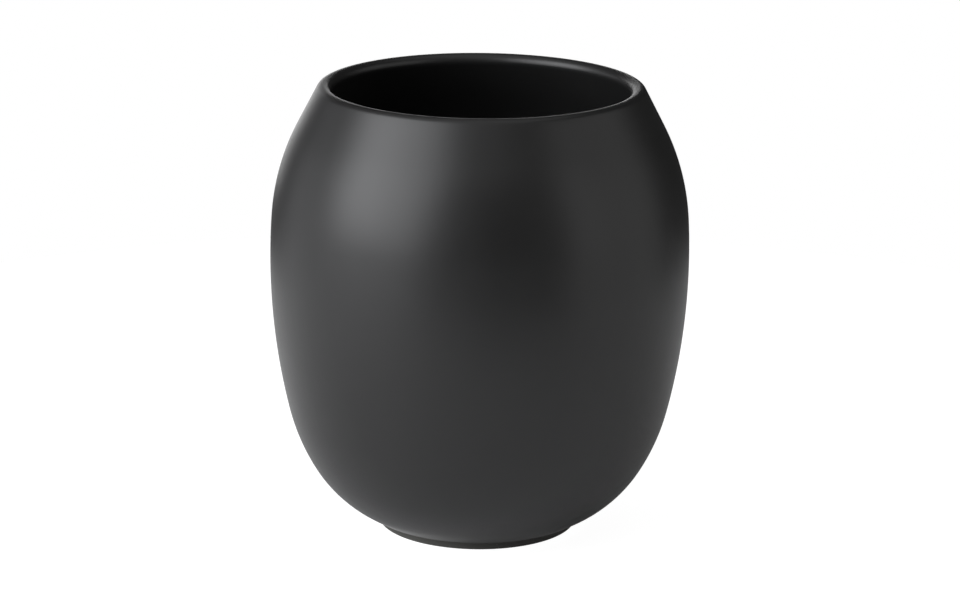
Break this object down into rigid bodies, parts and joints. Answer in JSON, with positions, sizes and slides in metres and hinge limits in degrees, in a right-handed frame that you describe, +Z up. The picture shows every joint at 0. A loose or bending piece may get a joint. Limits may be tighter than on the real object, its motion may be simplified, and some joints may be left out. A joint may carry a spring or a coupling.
{
  "type": "empty candle jar",
  "caption": "Egg-shaped stoneware candle jar with a matt black glaze, a rounded open lip and a slim bare foot ring; empty, to be filled with wax.",
  "frame": {"origin": "centre of the foot ring's contact plane, on the jar's axis, at the level the jar stands on", "axes": "+Z up the jar's axis to the open mouth; the jar is round about Z, so +X and +Y are any two directions square to it"},
  "size_m": [0.09, 0.09, 0.097],
  "materials": {
    "bare_clay": "black stoneware, fired bare: dull, finely grainy, bare only on the foot ring",
    "outer_glaze": "matt to satin black glaze with a faint orange peel",
    "liner_glaze": "smooth satin black liner glaze"
  },
  "bodies": {
    "root": {"clay_body": "bare_clay", "outer_coat": "outer_glaze", "inner_glaze": "liner_glaze", "base_glaze": "outer_glaze"}
  },
  "joints": []
}
